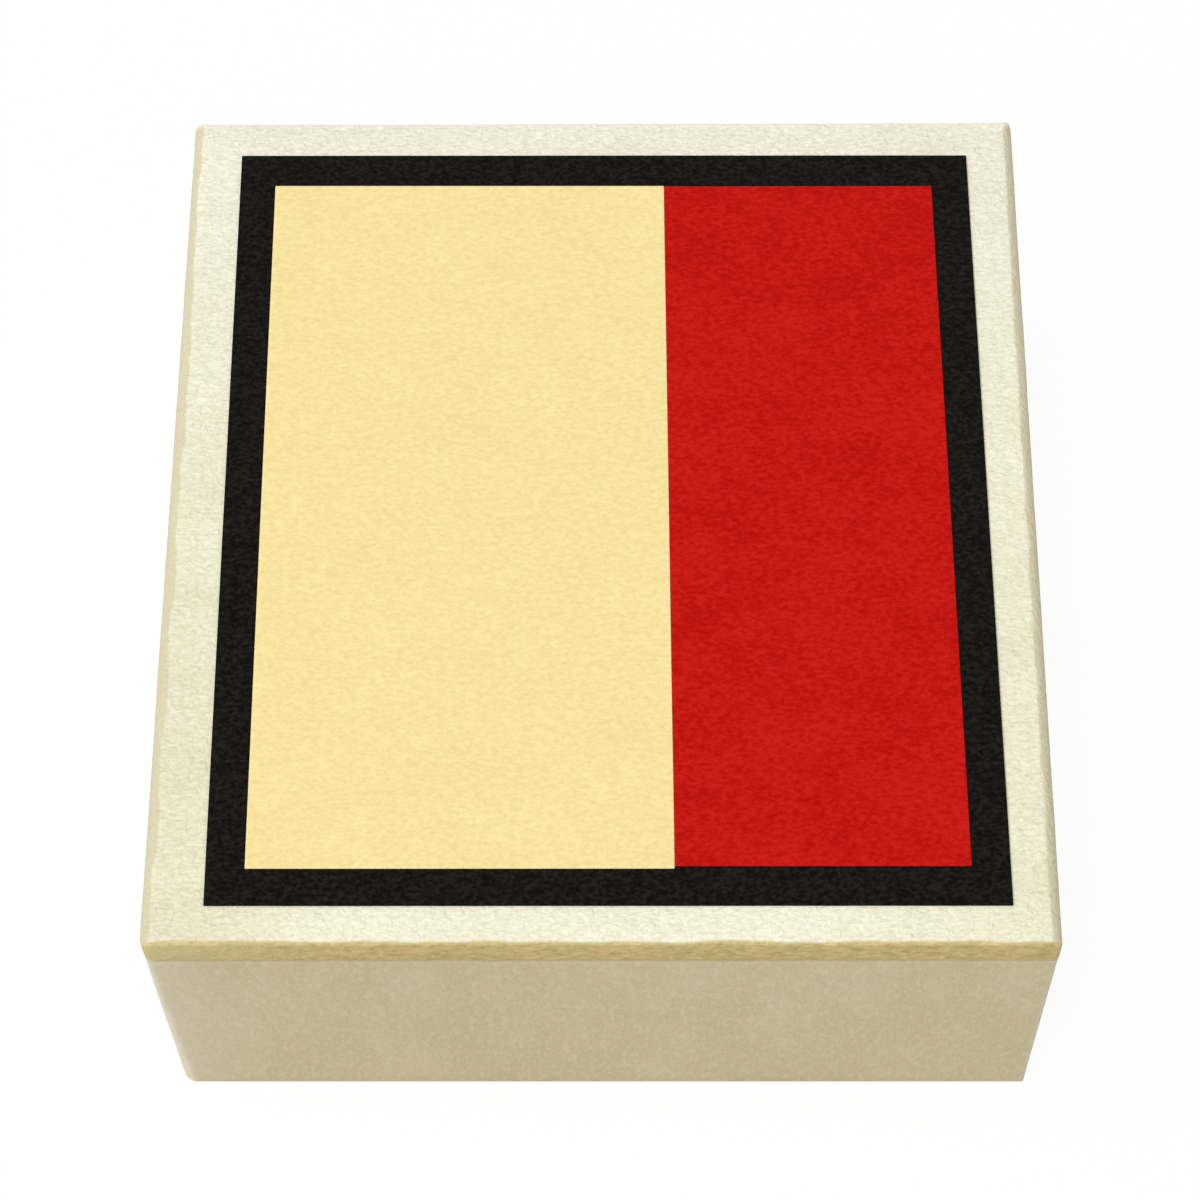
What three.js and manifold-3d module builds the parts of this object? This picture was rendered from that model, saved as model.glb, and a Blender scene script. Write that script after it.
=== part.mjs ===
// A paper-covered presentation box that holds one stick of calligraphy ink.
// The base is a rigid board tray. The lid is a thick flat board with a collar beneath it that drops
// inside the base. A card platform with a slot and two finger notches holds the ink stick.
// Millimetres, +Z up. The origin is the centre of the box's underside, +X is right and +Y is back.

import * as THREE from 'three';
import { RoundedBoxGeometry } from 'three/addons/geometries/RoundedBoxGeometry.js';
import { mergeVertices } from 'three/addons/utils/BufferGeometryUtils.js';
import Module from 'manifold-3d';

// ---- Ink stick ----
const stickWidth = 22;
const stickLength = 88;
const stickHeight = 11;
const stickRadius = 1.6; // moulded edges
const panelMargin = 3.2; // plain border round the sunk panel on each broad face
const panelDepth = 0.4; // how far the panel is sunk
const panelCorner = 2.5;

// ---- The closed box ----
const boxWidth = 100; // over the lid, along X
const stickEndRoom = 10.1; // from each end of the stick to the lid's edge
const baseHeight = 39.2; // underside to the line where the lid meets the base
const lidOverhang = 0.2; // the lid stands past the base by this on every side
const wantedEdgeRadius = 0.8; // wrapped outer edges and corners

// ---- Board and paper ----
const greyboard = 1.9; // walls, floor and the two boards of the lid
const coverPaper = 0.4; // fibrous covering paper, outside and turned in
const liningPaper = 0.2; // smooth lining sheets
const undersidePaper = 0.3; // sheet that the box stands on
const undersideMargin = 3; // the underside sheet stops this far short of the base's edge
const turnIn = 12; // covering paper glued round to the hidden side
const liningGap = 0.3; // a lining sheet stops this far short of the wall beside it

// ---- Locating collar under the lid ----
const collarBoard = 1.5;
const collarDepth = 8; // how far it reaches down into the base
const collarClearance = 0.3; // between the collar and the base's mouth, on every side

// ---- Label, three plain papers laid on the lid ----
const labelMount = 0.25; // thickness of the dark backing sheet
const labelSheet = 0.15; // thickness of the two coloured sheets on it
const labelMargin = { left: 6.6, right: 5.55, back: 5.2, front: 4.45 }; // lid's edge to the mount
const labelBorder = { left: 4.0, right: 4.3, back: 4.25, front: 4.6 }; // mount showing as a border
const redSheetWidth = 32.3; // the cream sheet takes the rest

// ---- Card insert ----
const card = 1.5; // platform and bed
const riserBoard = 2.0; // upright strips that carry the platform
const platformTop = 21; // underside of the box to the platform's upper face
const stickSunk = 6.2; // how deep the stick lies below that face
const slotClearance = 0.4; // between the stick and the slot, on every side
const insertClearance = 0.3; // between the insert and the base's mouth, on every side
const notchRadius = 9; // finger notches, half circles at the middle of the slot's long sides
const bedLining = 0.3; // flocked paper under the stick
const bedWidth = 40;
const legBoard = 2.0;
const legInset = 3; // the bed's edge to the leg's outer face

// ---- Making the solids ----
const trim = 0.001; // cut off a rounded end, so that its face lies exactly at its height
const overrun = 1; // how far a cut runs past the face it starts from
const wrapSteps = 3; // flat steps round a wrapped edge
const stickSteps = 4; // flat steps round the stick's moulded edges
const cornerSteps = 6; // straight pieces in each corner of the sunk panel
const notchSteps = 16; // straight pieces in each finger notch

// ---- Worked out from the sizes above ----
const boxDepth = stickLength + 2 * stickEndRoom; // over the lid, along Y
const edgeRadius = Math.min(wantedEdgeRadius, 2 * coverPaper);
const lidHeight = 2 * coverPaper + 2 * greyboard;
const boxHeight = baseHeight + lidHeight;
const mouthInset = lidOverhang + 2 * coverPaper + greyboard; // the lid's edge to the base's mouth
const mouthX = boxWidth / 2 - mouthInset;
const mouthY = boxDepth / 2 - mouthInset;
const floorTop = undersidePaper + coverPaper + greyboard;
const liningTop = floorTop + liningPaper;
const bedTop = platformTop - stickSunk; // the stick's underside

// ---- Materials ----
function paper(color, roughness) {
  return new THREE.MeshStandardMaterial({ color, roughness, metalness: 0 });
}
const lidPaper = paper(0xf1ecd4, 0.95);
const basePaper = paper(0xd3c8a6, 0.95);
const liningWhite = paper(0xe9e4d6, 0.9);
const boardGrey = paper(0x9b9486, 0.95);
const insertCard = paper(0xefe9da, 0.9);
const labelBlack = paper(0x1e1b18, 0.9);
const labelCream = paper(0xf9e3a0, 0.9);
const labelRed = paper(0xc21914, 0.9);
const bedFlock = paper(0xb9a67c, 1);
const inkBlack = paper(0x141416, 0.45);

// ---- Shape helpers ----
const wasm = await Module();
wasm.setup();

// The solid that a closed geometry encloses.
function solid(geometry) {
  const bare = geometry.index ? geometry.toNonIndexed() : geometry.clone();
  bare.deleteAttribute('normal');
  bare.deleteAttribute('uv');
  const merged = mergeVertices(bare, 1e-4);
  const vertProperties = merged.attributes.position.array;
  const triVerts = new Uint32Array(merged.index.array);
  return new wasm.Manifold(new wasm.Mesh({ numProp: 3, vertProperties, triVerts }));
}

// The geometry of a solid, with flat-shaded faces.
function geometryOf(shape) {
  const { vertProperties, triVerts } = shape.getMesh();
  const indexed = new THREE.BufferGeometry();
  indexed.setAttribute('position', new THREE.BufferAttribute(vertProperties, 3));
  indexed.setIndex(new THREE.BufferAttribute(triVerts, 1));
  const flat = indexed.toNonIndexed();
  flat.computeVertexNormals();
  return flat;
}

// A box between two corners, each [x, y, z]. Its vertices take the corners' own values, so that
// boxes which share a plane meet on it exactly.
function boxBetween(low, high) {
  const box = new THREE.BoxGeometry(1, 1, 1);
  const places = box.attributes.position.array;
  places.forEach((side, i) => {
    places[i] = side > 0 ? high[i % 3] : low[i % 3];
  });
  return box;
}

function named(name, geometry, material) {
  const mesh = new THREE.Mesh(geometry, material);
  mesh.name = name;
  return mesh;
}

function board(name, low, high, material) {
  return named(name, boxBetween(low, high), material);
}

// A board centred on the origin, given its half sizes and its lower and upper faces.
function sheet(name, halfX, halfY, bottom, top, material) {
  return board(name, [-halfX, -halfY, bottom], [halfX, halfY, top], material);
}

// Four strips that frame a rectangle. The front and back ones run the whole width, and the side
// ones fit between them.
function frameOfStrips(prefix, halfX, halfY, thickness, bottom, top, material) {
  const innerX = halfX - thickness;
  const innerY = halfY - thickness;
  return [
    board(`${prefix}_front`, [-halfX, -halfY, bottom], [halfX, -innerY, top], material),
    board(`${prefix}_back`, [-halfX, innerY, bottom], [halfX, halfY, top], material),
    board(`${prefix}_left`, [-halfX, -innerY, bottom], [-innerX, innerY, top], material),
    board(`${prefix}_right`, [innerX, -innerY, bottom], [halfX, innerY, top], material),
  ];
}

// A plain block centred on the origin, as a solid.
function block(halfX, halfY, bottom, top) {
  return solid(boxBetween([-halfX, -halfY, bottom], [halfX, halfY, top]));
}

// A block with rounded vertical edges and one rounded end. The other end is flat, at the plane where
// lid and base meet. It is made too tall and trimmed, so that both ends lie exactly at their heights.
function roundedBlock(halfX, halfY, bottom, top, flatEnd) {
  const wholeRounding = 2 * edgeRadius;
  const low = bottom - (flatEnd === 'bottom' ? wholeRounding : trim);
  const high = top + (flatEnd === 'top' ? wholeRounding : trim);
  const rounded = new RoundedBoxGeometry(2 * halfX, 2 * halfY, high - low, wrapSteps, edgeRadius);
  rounded.translate(0, 0, (low + high) / 2);
  return solid(rounded).intersect(block(2 * halfX, 2 * halfY, bottom, top));
}

// ---- Base ----
// One sheet of paper covers the walls, turns over their tops and down inside, and turns in under
// the floor board by a narrow band.
function baseWrap() {
  const halfX = boxWidth / 2 - lidOverhang;
  const halfY = boxDepth / 2 - lidOverhang;
  const boardX = halfX - coverPaper;
  const boardY = halfY - coverPaper;
  const floorBottom = undersidePaper + coverPaper;
  const wallTop = baseHeight - coverPaper;
  const walls = block(boardX, boardY, floorTop, wallTop).subtract(
    block(mouthX + coverPaper, mouthY + coverPaper, floorTop - overrun, wallTop + overrun),
  );
  const floor = block(boardX, boardY, floorBottom, floorTop);
  const mouth = block(mouthX, mouthY, floorBottom, baseHeight + overrun);
  const gap = block(boardX - turnIn, boardY - turnIn, 0, floorTop);
  const space = walls.add(floor).add(mouth).add(gap);
  const wrap = roundedBlock(halfX, halfY, undersidePaper, baseHeight, 'top').subtract(space);
  return named('base_wrap', geometryOf(wrap), basePaper);
}

function makeBase() {
  const boardX = boxWidth / 2 - lidOverhang - coverPaper;
  const boardY = boxDepth / 2 - lidOverhang - coverPaper;
  const standX = boardX + coverPaper - undersideMargin;
  const standY = boardY + coverPaper - undersideMargin;
  const floorBottom = undersidePaper + coverPaper;
  const group = new THREE.Group();
  group.add(
    sheet('base_underside_sheet', standX, standY, 0, undersidePaper, basePaper),
    sheet('base_infill_sheet', boardX - turnIn, boardY - turnIn, undersidePaper, floorBottom,
      liningWhite),
    sheet('base_floor_board', boardX, boardY, floorBottom, floorTop, boardGrey),
    ...frameOfStrips('base_wall', boardX, boardY, greyboard, floorTop, baseHeight - coverPaper,
      boardGrey),
    sheet('base_floor_lining', mouthX - liningGap, mouthY - liningGap, floorTop, liningTop,
      liningWhite),
    baseWrap(),
  );
  return group;
}

// ---- Card insert ----
function platformBoard() {
  const halfX = mouthX - insertClearance;
  const halfY = mouthY - insertClearance;
  const slotX = stickWidth / 2 + slotClearance;
  const slotY = stickLength / 2 + slotClearance;
  const outline = new THREE.Shape();
  outline.moveTo(-halfX, -halfY);
  outline.lineTo(halfX, -halfY);
  outline.lineTo(halfX, halfY);
  outline.lineTo(-halfX, halfY);
  outline.closePath();
  const slot = new THREE.Path();
  slot.absarc(slotX, 0, notchRadius, -Math.PI / 2, Math.PI / 2, false);
  slot.lineTo(slotX, slotY);
  slot.lineTo(-slotX, slotY);
  slot.absarc(-slotX, 0, notchRadius, Math.PI / 2, (3 * Math.PI) / 2, false);
  slot.lineTo(-slotX, -slotY);
  slot.lineTo(slotX, -slotY);
  slot.closePath();
  outline.holes.push(slot);
  const plate = new THREE.ExtrudeGeometry(outline, {
    depth: card,
    bevelEnabled: false,
    curveSegments: notchSteps,
  });
  plate.translate(0, 0, platformTop - card);
  return named('platform_board', plate, insertCard);
}

function makeInsert() {
  const riserX = mouthX - insertClearance;
  const riserY = mouthY - insertClearance;
  const bedY = riserY - riserBoard - insertClearance;
  const cardTop = bedTop - bedLining;
  const cardBottom = cardTop - card;
  const legOuter = bedWidth / 2 - legInset;
  const legInner = legOuter - legBoard;
  const group = new THREE.Group();
  group.add(
    ...frameOfStrips('platform_riser', riserX, riserY, riserBoard, liningTop, platformTop - card,
      insertCard),
    platformBoard(),
    board('bed_leg_left', [-legOuter, -bedY, liningTop], [-legInner, bedY, cardBottom], insertCard),
    board('bed_leg_right', [legInner, -bedY, liningTop], [legOuter, bedY, cardBottom], insertCard),
    sheet('bed_board', bedWidth / 2, bedY, cardBottom, cardTop, insertCard),
    sheet('bed_lining', bedWidth / 2, bedY, cardTop, bedTop, bedFlock),
  );
  return group;
}

// ---- Ink stick ----
// A prism with round corners: four arcs, joined by straight sides.
function roundedPanel(halfX, halfY, corner, bottom, top) {
  const outline = new THREE.Shape();
  outline.absarc(halfX - corner, -halfY + corner, corner, -Math.PI / 2, 0, false);
  outline.absarc(halfX - corner, halfY - corner, corner, 0, Math.PI / 2, false);
  outline.absarc(-halfX + corner, halfY - corner, corner, Math.PI / 2, Math.PI, false);
  outline.absarc(-halfX + corner, -halfY + corner, corner, Math.PI, (3 * Math.PI) / 2, false);
  const depth = top - bottom;
  const prism = new THREE.ExtrudeGeometry(outline, {
    depth,
    bevelEnabled: false,
    curveSegments: cornerSteps,
  });
  return prism.translate(0, 0, bottom);
}

// A moulded bar with rounded edges and a sunk panel on each broad face.
function inkStick() {
  const bar = new RoundedBoxGeometry(
    stickWidth, stickLength, stickHeight, stickSteps, stickRadius,
  );
  const panelX = stickWidth / 2 - panelMargin;
  const panelY = stickLength / 2 - panelMargin;
  const half = stickHeight / 2;
  const upper = roundedPanel(panelX, panelY, panelCorner, half - panelDepth, half + overrun);
  const lower = roundedPanel(panelX, panelY, panelCorner, -half - overrun, -half + panelDepth);
  const shape = solid(bar).subtract(solid(upper)).subtract(solid(lower));
  const mesh = named('ink_stick', geometryOf(shape), inkBlack);
  mesh.position.z = bedTop + half;
  return mesh;
}

// ---- Lid ----
// The paper covers the top and the edges and turns in under the lower board by a narrow band.
function lidWrap() {
  const boardX = boxWidth / 2 - coverPaper;
  const boardY = boxDepth / 2 - coverPaper;
  const boardBottom = baseHeight + coverPaper;
  const boards = block(boardX, boardY, boardBottom, boxHeight - coverPaper);
  const gap = block(
    boardX - turnIn, boardY - turnIn, baseHeight - overrun, boardBottom + overrun,
  );
  const outside = roundedBlock(boxWidth / 2, boxDepth / 2, baseHeight, boxHeight, 'bottom');
  return named('lid_wrap', geometryOf(outside.subtract(boards.add(gap))), lidPaper);
}

function makeLid() {
  const boardX = boxWidth / 2 - coverPaper;
  const boardY = boxDepth / 2 - coverPaper;
  const boardBottom = baseHeight + coverPaper;
  const boardMiddle = boardBottom + greyboard;
  const collarX = mouthX - collarClearance;
  const collarY = mouthY - collarClearance;
  const liningBottom = baseHeight - liningPaper;
  const group = new THREE.Group();
  group.add(
    lidWrap(),
    sheet('lid_top_board', boardX, boardY, boardMiddle, boardMiddle + greyboard, boardGrey),
    sheet('lid_under_board', boardX, boardY, boardBottom, boardMiddle, boardGrey),
    sheet('lid_infill_sheet', boardX - turnIn, boardY - turnIn, baseHeight, boardBottom,
      liningWhite),
    sheet('lid_lining', collarX, collarY, liningBottom, baseHeight, liningWhite),
    ...frameOfStrips('lid_collar', collarX, collarY, collarBoard, baseHeight - collarDepth,
      liningBottom, liningWhite),
    ...makeLabel(),
  );
  return group;
}

// The mount shows as a border round the two sheets, which meet edge to edge.
function makeLabel() {
  const mountLow = [-boxWidth / 2 + labelMargin.left, -boxDepth / 2 + labelMargin.front, boxHeight];
  const mountTop = boxHeight + labelMount;
  const mountHigh = [boxWidth / 2 - labelMargin.right, boxDepth / 2 - labelMargin.back, mountTop];
  const sheetTop = mountTop + labelSheet;
  const left = mountLow[0] + labelBorder.left;
  const right = mountHigh[0] - labelBorder.right;
  const front = mountLow[1] + labelBorder.front;
  const back = mountHigh[1] - labelBorder.back;
  const join = right - redSheetWidth;
  return [
    board('label_mount', mountLow, mountHigh, labelBlack),
    board('label_cream_sheet', [left, front, mountTop], [join, back, sheetTop], labelCream),
    board('label_red_sheet', [join, front, mountTop], [right, back, sheetTop], labelRed),
  ];
}

const inkStickBox = new THREE.Group();
inkStickBox.add(makeBase(), makeInsert(), inkStick(), makeLid());

export default inkStickBox;
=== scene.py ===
import math

import bmesh
import bpy
from mathutils import Matrix, Vector, noise


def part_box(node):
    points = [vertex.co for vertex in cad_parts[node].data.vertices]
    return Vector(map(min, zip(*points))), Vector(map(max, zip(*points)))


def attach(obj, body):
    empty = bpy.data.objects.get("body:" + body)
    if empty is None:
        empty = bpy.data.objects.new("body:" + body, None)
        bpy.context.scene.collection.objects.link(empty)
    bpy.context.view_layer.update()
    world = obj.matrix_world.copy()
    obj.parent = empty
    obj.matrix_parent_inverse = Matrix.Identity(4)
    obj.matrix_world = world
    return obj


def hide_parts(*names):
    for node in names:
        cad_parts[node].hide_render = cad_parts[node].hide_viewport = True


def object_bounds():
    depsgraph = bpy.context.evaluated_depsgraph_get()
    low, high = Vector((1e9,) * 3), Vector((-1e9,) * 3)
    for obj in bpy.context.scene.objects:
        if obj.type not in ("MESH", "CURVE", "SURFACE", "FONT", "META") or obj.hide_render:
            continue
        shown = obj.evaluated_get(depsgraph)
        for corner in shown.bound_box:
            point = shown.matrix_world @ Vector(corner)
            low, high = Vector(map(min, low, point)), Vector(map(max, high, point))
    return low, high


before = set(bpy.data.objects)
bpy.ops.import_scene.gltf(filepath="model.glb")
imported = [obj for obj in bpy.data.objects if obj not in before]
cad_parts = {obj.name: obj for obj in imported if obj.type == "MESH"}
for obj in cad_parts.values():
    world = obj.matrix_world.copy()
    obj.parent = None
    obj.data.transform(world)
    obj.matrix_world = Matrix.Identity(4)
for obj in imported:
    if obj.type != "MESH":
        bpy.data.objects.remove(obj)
cad_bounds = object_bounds()


# ---- Greyboard ----
# The box is built on stiff recycled board, cut to size and glued: a floor and four walls for the
# base, and two flat boards for the lid. The board is grey pulp with pale and dark flecks, and the
# covering papers hide all of it.

def paint(red, green, blue):
    """A colour from its screen values, 0 to 255."""
    def linear(value):
        value /= 255
        return value / 12.92 if value <= 0.04045 else ((value + 0.055) / 1.055) ** 2.4
    return (linear(red), linear(green), linear(blue), 1.0)


def add(tree, kind, inputs=None, **settings):
    """A node whose inputs are set to a value, or joined to another node's output."""
    made = tree.nodes.new(kind)
    for name, value in settings.items():
        setattr(made, name, value)
    for name, value in (inputs or {}).items():
        if isinstance(value, bpy.types.NodeSocket):
            tree.links.new(value, made.inputs[name])
        else:
            made.inputs[name].default_value = value
    return made


def calc(operation, *values):
    """One step of sums. It goes into the tree that its first socket is part of."""
    tree = next(value for value in values if isinstance(value, bpy.types.NodeSocket)).id_data
    return add(tree, "ShaderNodeMath", dict(enumerate(values)), operation=operation).outputs[0]


def times(first, second):
    return calc("MULTIPLY", first, second)


def clouds(place, scale, **settings):
    """Soft noise from 0 to 1. Settings are its Detail, Roughness and Distortion."""
    inputs = {"Vector": place, "Scale": scale, **settings}
    return add(place.id_data, "ShaderNodeTexNoise", inputs).outputs["Fac"]


def ramped(value, low, high, least=0.0, most=1.0):
    """Goes smoothly from least to most as value goes from low to high."""
    reach = {"Value": value, "From Min": low, "From Max": high, "To Min": least, "To Max": most}
    made = add(value.id_data, "ShaderNodeMapRange", reach, interpolation_type="SMOOTHSTEP")
    return made.outputs["Result"]


def blended(amount, first, second):
    """The first colour where amount is 0, and the second where it is 1."""
    inputs = {0: amount, 6: first, 7: second}
    return add(amount.id_data, "ShaderNodeMix", inputs, data_type="RGBA").outputs[2]


def start_group(name, inputs, outputs):
    group = bpy.data.node_groups.new(name, "ShaderNodeTree")
    group.interface.new_socket("Vector", in_out="INPUT", socket_type="NodeSocketVector")
    for label, value in inputs.items():
        socket = group.interface.new_socket(label, in_out="INPUT", socket_type="NodeSocketFloat")
        socket.default_value = value
    for label in outputs:
        group.interface.new_socket(label, in_out="OUTPUT", socket_type="NodeSocketFloat")
    inlet = group.nodes.new("NodeGroupInput").outputs
    outlet = group.nodes.new("NodeGroupOutput").inputs
    return group, inlet, outlet


def use_group(group, place, **values):
    inputs = {"Vector": place, **values}
    return add(place.id_data, "ShaderNodeGroup", inputs, node_tree=group).outputs


def start_finish(name, roughness, gloss):
    """A surface with its plain values set, and the place on the piece that patterns follow."""
    finish = bpy.data.materials.new(name)
    finish.use_nodes = True
    surface = finish.node_tree.nodes["Principled BSDF"]
    surface.inputs["Roughness"].default_value = roughness
    surface.inputs["Specular IOR Level"].default_value = gloss
    place = add(finish.node_tree, "ShaderNodeTexCoord").outputs["Object"]
    return finish, surface, place


def coat(surface, colour, height, depth):
    """Gives a surface its colour, and a fine relief that follows height, up to depth."""
    links = surface.id_data.links
    links.new(colour, surface.inputs["Base Color"])
    bump = {"Height": height, "Distance": depth, "Strength": 1.0}
    relief = add(surface.id_data, "ShaderNodeBump", bump)
    links.new(relief.outputs["Normal"], surface.inputs["Normal"])


# Pulp flecks: small specks, with the share of them set by Amount.
pulp_flecks, inlet, outlet = start_group("pulp_flecks", {"Scale": 900.0, "Amount": 0.3}, ["Mask"])
fleck_noise = clouds(inlet["Vector"], inlet["Scale"], Detail=2.0, Roughness=0.6)
fleck_level = calc("SUBTRACT", 0.86, inlet["Amount"])
fleck_start = calc("SUBTRACT", fleck_level, 0.05)
fleck_mask = ramped(fleck_noise, fleck_start, fleck_level)
pulp_flecks.links.new(fleck_mask, outlet["Mask"])

# Paper grain: fine matted fibres, the creases between them, and the slow cloudiness of a sheet.
# Stretch is how much longer the fibres lie along X than across it.
paper_grain, inlet, outlet = start_group(
    "paper_grain", {"Grain": 1000.0, "Stretch": 1.0, "Cloud": 60.0}, ["Fine", "Crease", "Cloudy"])
along = calc("DIVIDE", 1.0, inlet["Stretch"])
squeeze = add(paper_grain, "ShaderNodeCombineXYZ", {"X": along, "Y": 1.0, "Z": 1.0})
drawn_out = add(paper_grain, "ShaderNodeVectorMath", {
    0: inlet["Vector"], 1: squeeze.outputs[0]}, operation="MULTIPLY").outputs[0]
fine = clouds(drawn_out, inlet["Grain"], Detail=3.0, Roughness=0.55, Distortion=0.3)
crease_scale = times(inlet["Grain"], 0.42)
crease_noise = clouds(drawn_out, crease_scale, Detail=2.0, Distortion=0.4)
crease_side = calc("SUBTRACT", crease_noise, 0.5)
crease_away = calc("ABSOLUTE", crease_side)
crease = ramped(crease_away, 0.0, 0.03)
cloudy = clouds(drawn_out, inlet["Cloud"], Detail=3.0, Roughness=0.55)
paper_grain.links.new(fine, outlet["Fine"])
paper_grain.links.new(crease, outlet["Crease"])
paper_grain.links.new(cloudy, outlet["Cloudy"])

greyboard, surface, place = start_finish("greyboard", roughness=0.95, gloss=0.2)
grain = use_group(paper_grain, place, Grain=1500.0, Cloud=120.0)
dark_specks = use_group(pulp_flecks, place, Scale=1400.0, Amount=0.3)["Mask"]
pale_specks = use_group(pulp_flecks, place, Scale=900.0, Amount=0.27)["Mask"]
pulp = blended(grain["Cloudy"], paint(145, 138, 125), paint(165, 158, 144))
pulp = blended(dark_specks, pulp, paint(96, 92, 86))
pulp = blended(pale_specks, pulp, paint(196, 190, 178))
coat(surface, pulp, grain["Fine"], 0.00008)

for name in ("base_wall_back", "base_wall_left", "base_wall_right"):
    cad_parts[name].material_slots[0].material = greyboard


def ring(half_x, half_y, radius, height, side_steps, turn_steps=6):
    """Points round a rectangle with round corners, anticlockwise from above. Radius is one value,
    or four: front left, front right, back right, back left."""
    radii = radius if isinstance(radius, tuple) else (radius,) * 4
    corners = []
    for (side_x, side_y, start), corner in zip(
            ((-1, -1, 180), (1, -1, 270), (1, 1, 0), (-1, 1, 90)), radii):
        turn = []
        for step in range(turn_steps + 1):
            angle = math.radians(start + 90 * step / turn_steps)
            turn.append(Vector((
                side_x * (half_x - corner) + corner * math.cos(angle),
                side_y * (half_y - corner) + corner * math.sin(angle),
                height)))
        corners.append(turn)
    points = []
    for order, turn in enumerate(corners):
        onward = corners[(order + 1) % 4][0]
        steps = side_steps[order % 2]
        points += turn
        points += [turn[-1].lerp(onward, step / steps) for step in range(1, steps)]
    return points


def put(name, data):
    """An object of its own, in the scene at the origin."""
    piece = bpy.data.objects.new(name, data)
    bpy.context.scene.collection.objects.link(piece)
    return piece


def soften(mesh):
    """Shades a mesh smoothly, except over its real corners."""
    mesh.shade_smooth()
    mesh.set_sharp_from_angle(angle=math.radians(40))


def skin(name, rings, closed=False, sharp=True):
    """A closed mesh over rings of points. A closed section joins its last ring to its first, and
    an open one is capped at both. Its corners show, unless sharp is False."""
    count = len(rings[0])
    faces = []
    for row in range(len(rings) if closed else len(rings) - 1):
        here = row * count
        there = (row + 1) % len(rings) * count
        for step in range(count):
            onward = (step + 1) % count
            faces.append((here + step, here + onward, there + onward, there + step))
    if not closed:
        top = (len(rings) - 1) * count
        faces.append(tuple(reversed(range(count))))
        faces.append(tuple(range(top, top + count)))
    mesh = bpy.data.meshes.new(name)
    mesh.from_pydata([point for course in rings for point in course], [], faces)
    if sharp:
        soften(mesh)
    else:
        mesh.shade_smooth()
    return put(name, mesh)


def centred(course, middle):
    """A ring of points, moved over to a middle."""
    for point in course:
        point.x += middle.x
        point.y += middle.y
    return course


least_radius = 0.00005


def cut_board(name, node, radii, eased):
    """A board in a CAD node's place, with its edges eased and its upright corners rounded."""
    low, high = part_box(node)
    middle = (low + high) / 2
    half = (high - low) / 2
    part_way = eased * 0.3
    rings = []
    for inset, height in (
            (eased, low.z), (part_way, low.z + part_way), (0.0, low.z + eased),
            (0.0, high.z - eased), (part_way, high.z - part_way), (eased, high.z)):
        corners = tuple(max(radius - inset, least_radius) for radius in radii)
        course = ring(half.x - inset, half.y - inset, corners, height, (20, 20))
        rings.append(centred(course, middle))
    board = skin(name, rings)
    board.data.materials.append(greyboard)
    return board


# Four boards are sanded round at the front left corner, and the lid's upper one is eased all round.
square = 0.0001
blunt = 0.0003
sawn_edge = 0.0001
sanded_edge = 0.0008
for name, node, radii, eased, body in (
        ("floor_board", "base_floor_board", (0.0015, square, square, square), sawn_edge, "base"),
        ("front_board", "base_wall_front", (0.0011, square, square, square), sawn_edge, "base"),
        ("lid_lower_board", "lid_under_board", (0.0009, square, square, square), sawn_edge, "lid"),
        ("lid_upper_board", "lid_top_board", (0.0009, blunt, blunt, blunt), sanded_edge, "lid")):
    board = cut_board(name, node, radii, eased)
    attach(board, body)
    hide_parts(node)


# ---- Covering paper of the base ----
# One sheet of smooth, faintly fibrous tan paper is glued over the walls. It turns over their tops
# and down inside to the floor, and turns in under the floor board by a narrow band. Its edges are
# pressed round over the board, and its ends lap over each other near the corners.

def bend(inset, height, width, depth, start, steps=6):
    """A quarter turn of a section, as (inset, height): 0 faces out, 90 up, 180 in, -90 down."""
    turn = []
    for step in range(steps + 1):
        angle = math.radians(start + 90 * step / steps)
        turn.append((inset - width * math.cos(angle), height + depth * math.sin(angle)))
    return turn


def steps_between(start, end, count):
    """Even steps from start to end, with both left out."""
    return [start + (end - start) * step / count for step in range(1, count)]


def press_in(piece, depth, grain, shift=0.0, first=0, last=None):
    """Makes a skin uneven: its points from first up to last sink by up to depth, in dents about as
    wide as grain."""
    points = [(vertex, vertex.normal.copy()) for vertex in piece.data.vertices]
    for vertex, normal in points[first:last]:
        wave = noise.noise(vertex.co / grain + Vector((shift, 0, 0)))
        vertex.co -= normal * depth * (0.5 + 0.5 * wave)


base_low, base_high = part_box("base_wrap")
floor_low, floor_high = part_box("base_floor_board")
side_wall_low, side_wall_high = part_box("base_wall_right")
base_half_x = base_high.x
base_half_y = base_high.y
cover_paper = base_half_x - floor_high.x
base_mouth = base_half_x - side_wall_low.x + cover_paper
base_wall_inside = base_half_x - side_wall_low.x
base_turn_in = base_half_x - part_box("base_infill_sheet")[1].x
base_edge = 0.0004
rim_edge = 0.00035
base_corner = (0.0009, 0.00035, 0.0005, 0.0006)
knocked_corner = 0.0008
base_swell = 0.00012
inner_corner = 0.0003
turn_in_courses = (0.006, 0.003, 0.0015)
first_pressed = 9
last_pressed = 44
side_steps = (120, 130)

base_outside = (
    [(inset, base_low.z) for inset in (base_turn_in,) + turn_in_courses]
    + bend(base_edge, base_low.z + base_edge, base_edge, base_edge, -90)
    + [(0.0, height) for height in steps_between(base_low.z + base_edge, base_high.z - rim_edge, 26)]
    + bend(rim_edge, base_high.z - rim_edge, rim_edge, rim_edge, 0)
    + [(base_mouth / 2, base_high.z)]
    + bend(base_mouth - rim_edge, base_high.z - rim_edge, rim_edge, rim_edge, 90)
    + [(base_mouth, height) for height in steps_between(base_high.z - rim_edge, floor_high.z, 6)]
    + [(base_mouth, floor_high.z)])
base_glued_side = [
    (base_wall_inside, floor_high.z), (base_wall_inside, side_wall_high.z),
    (cover_paper, side_wall_high.z), (cover_paper, floor_low.z), (base_turn_in, floor_low.z)]

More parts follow.
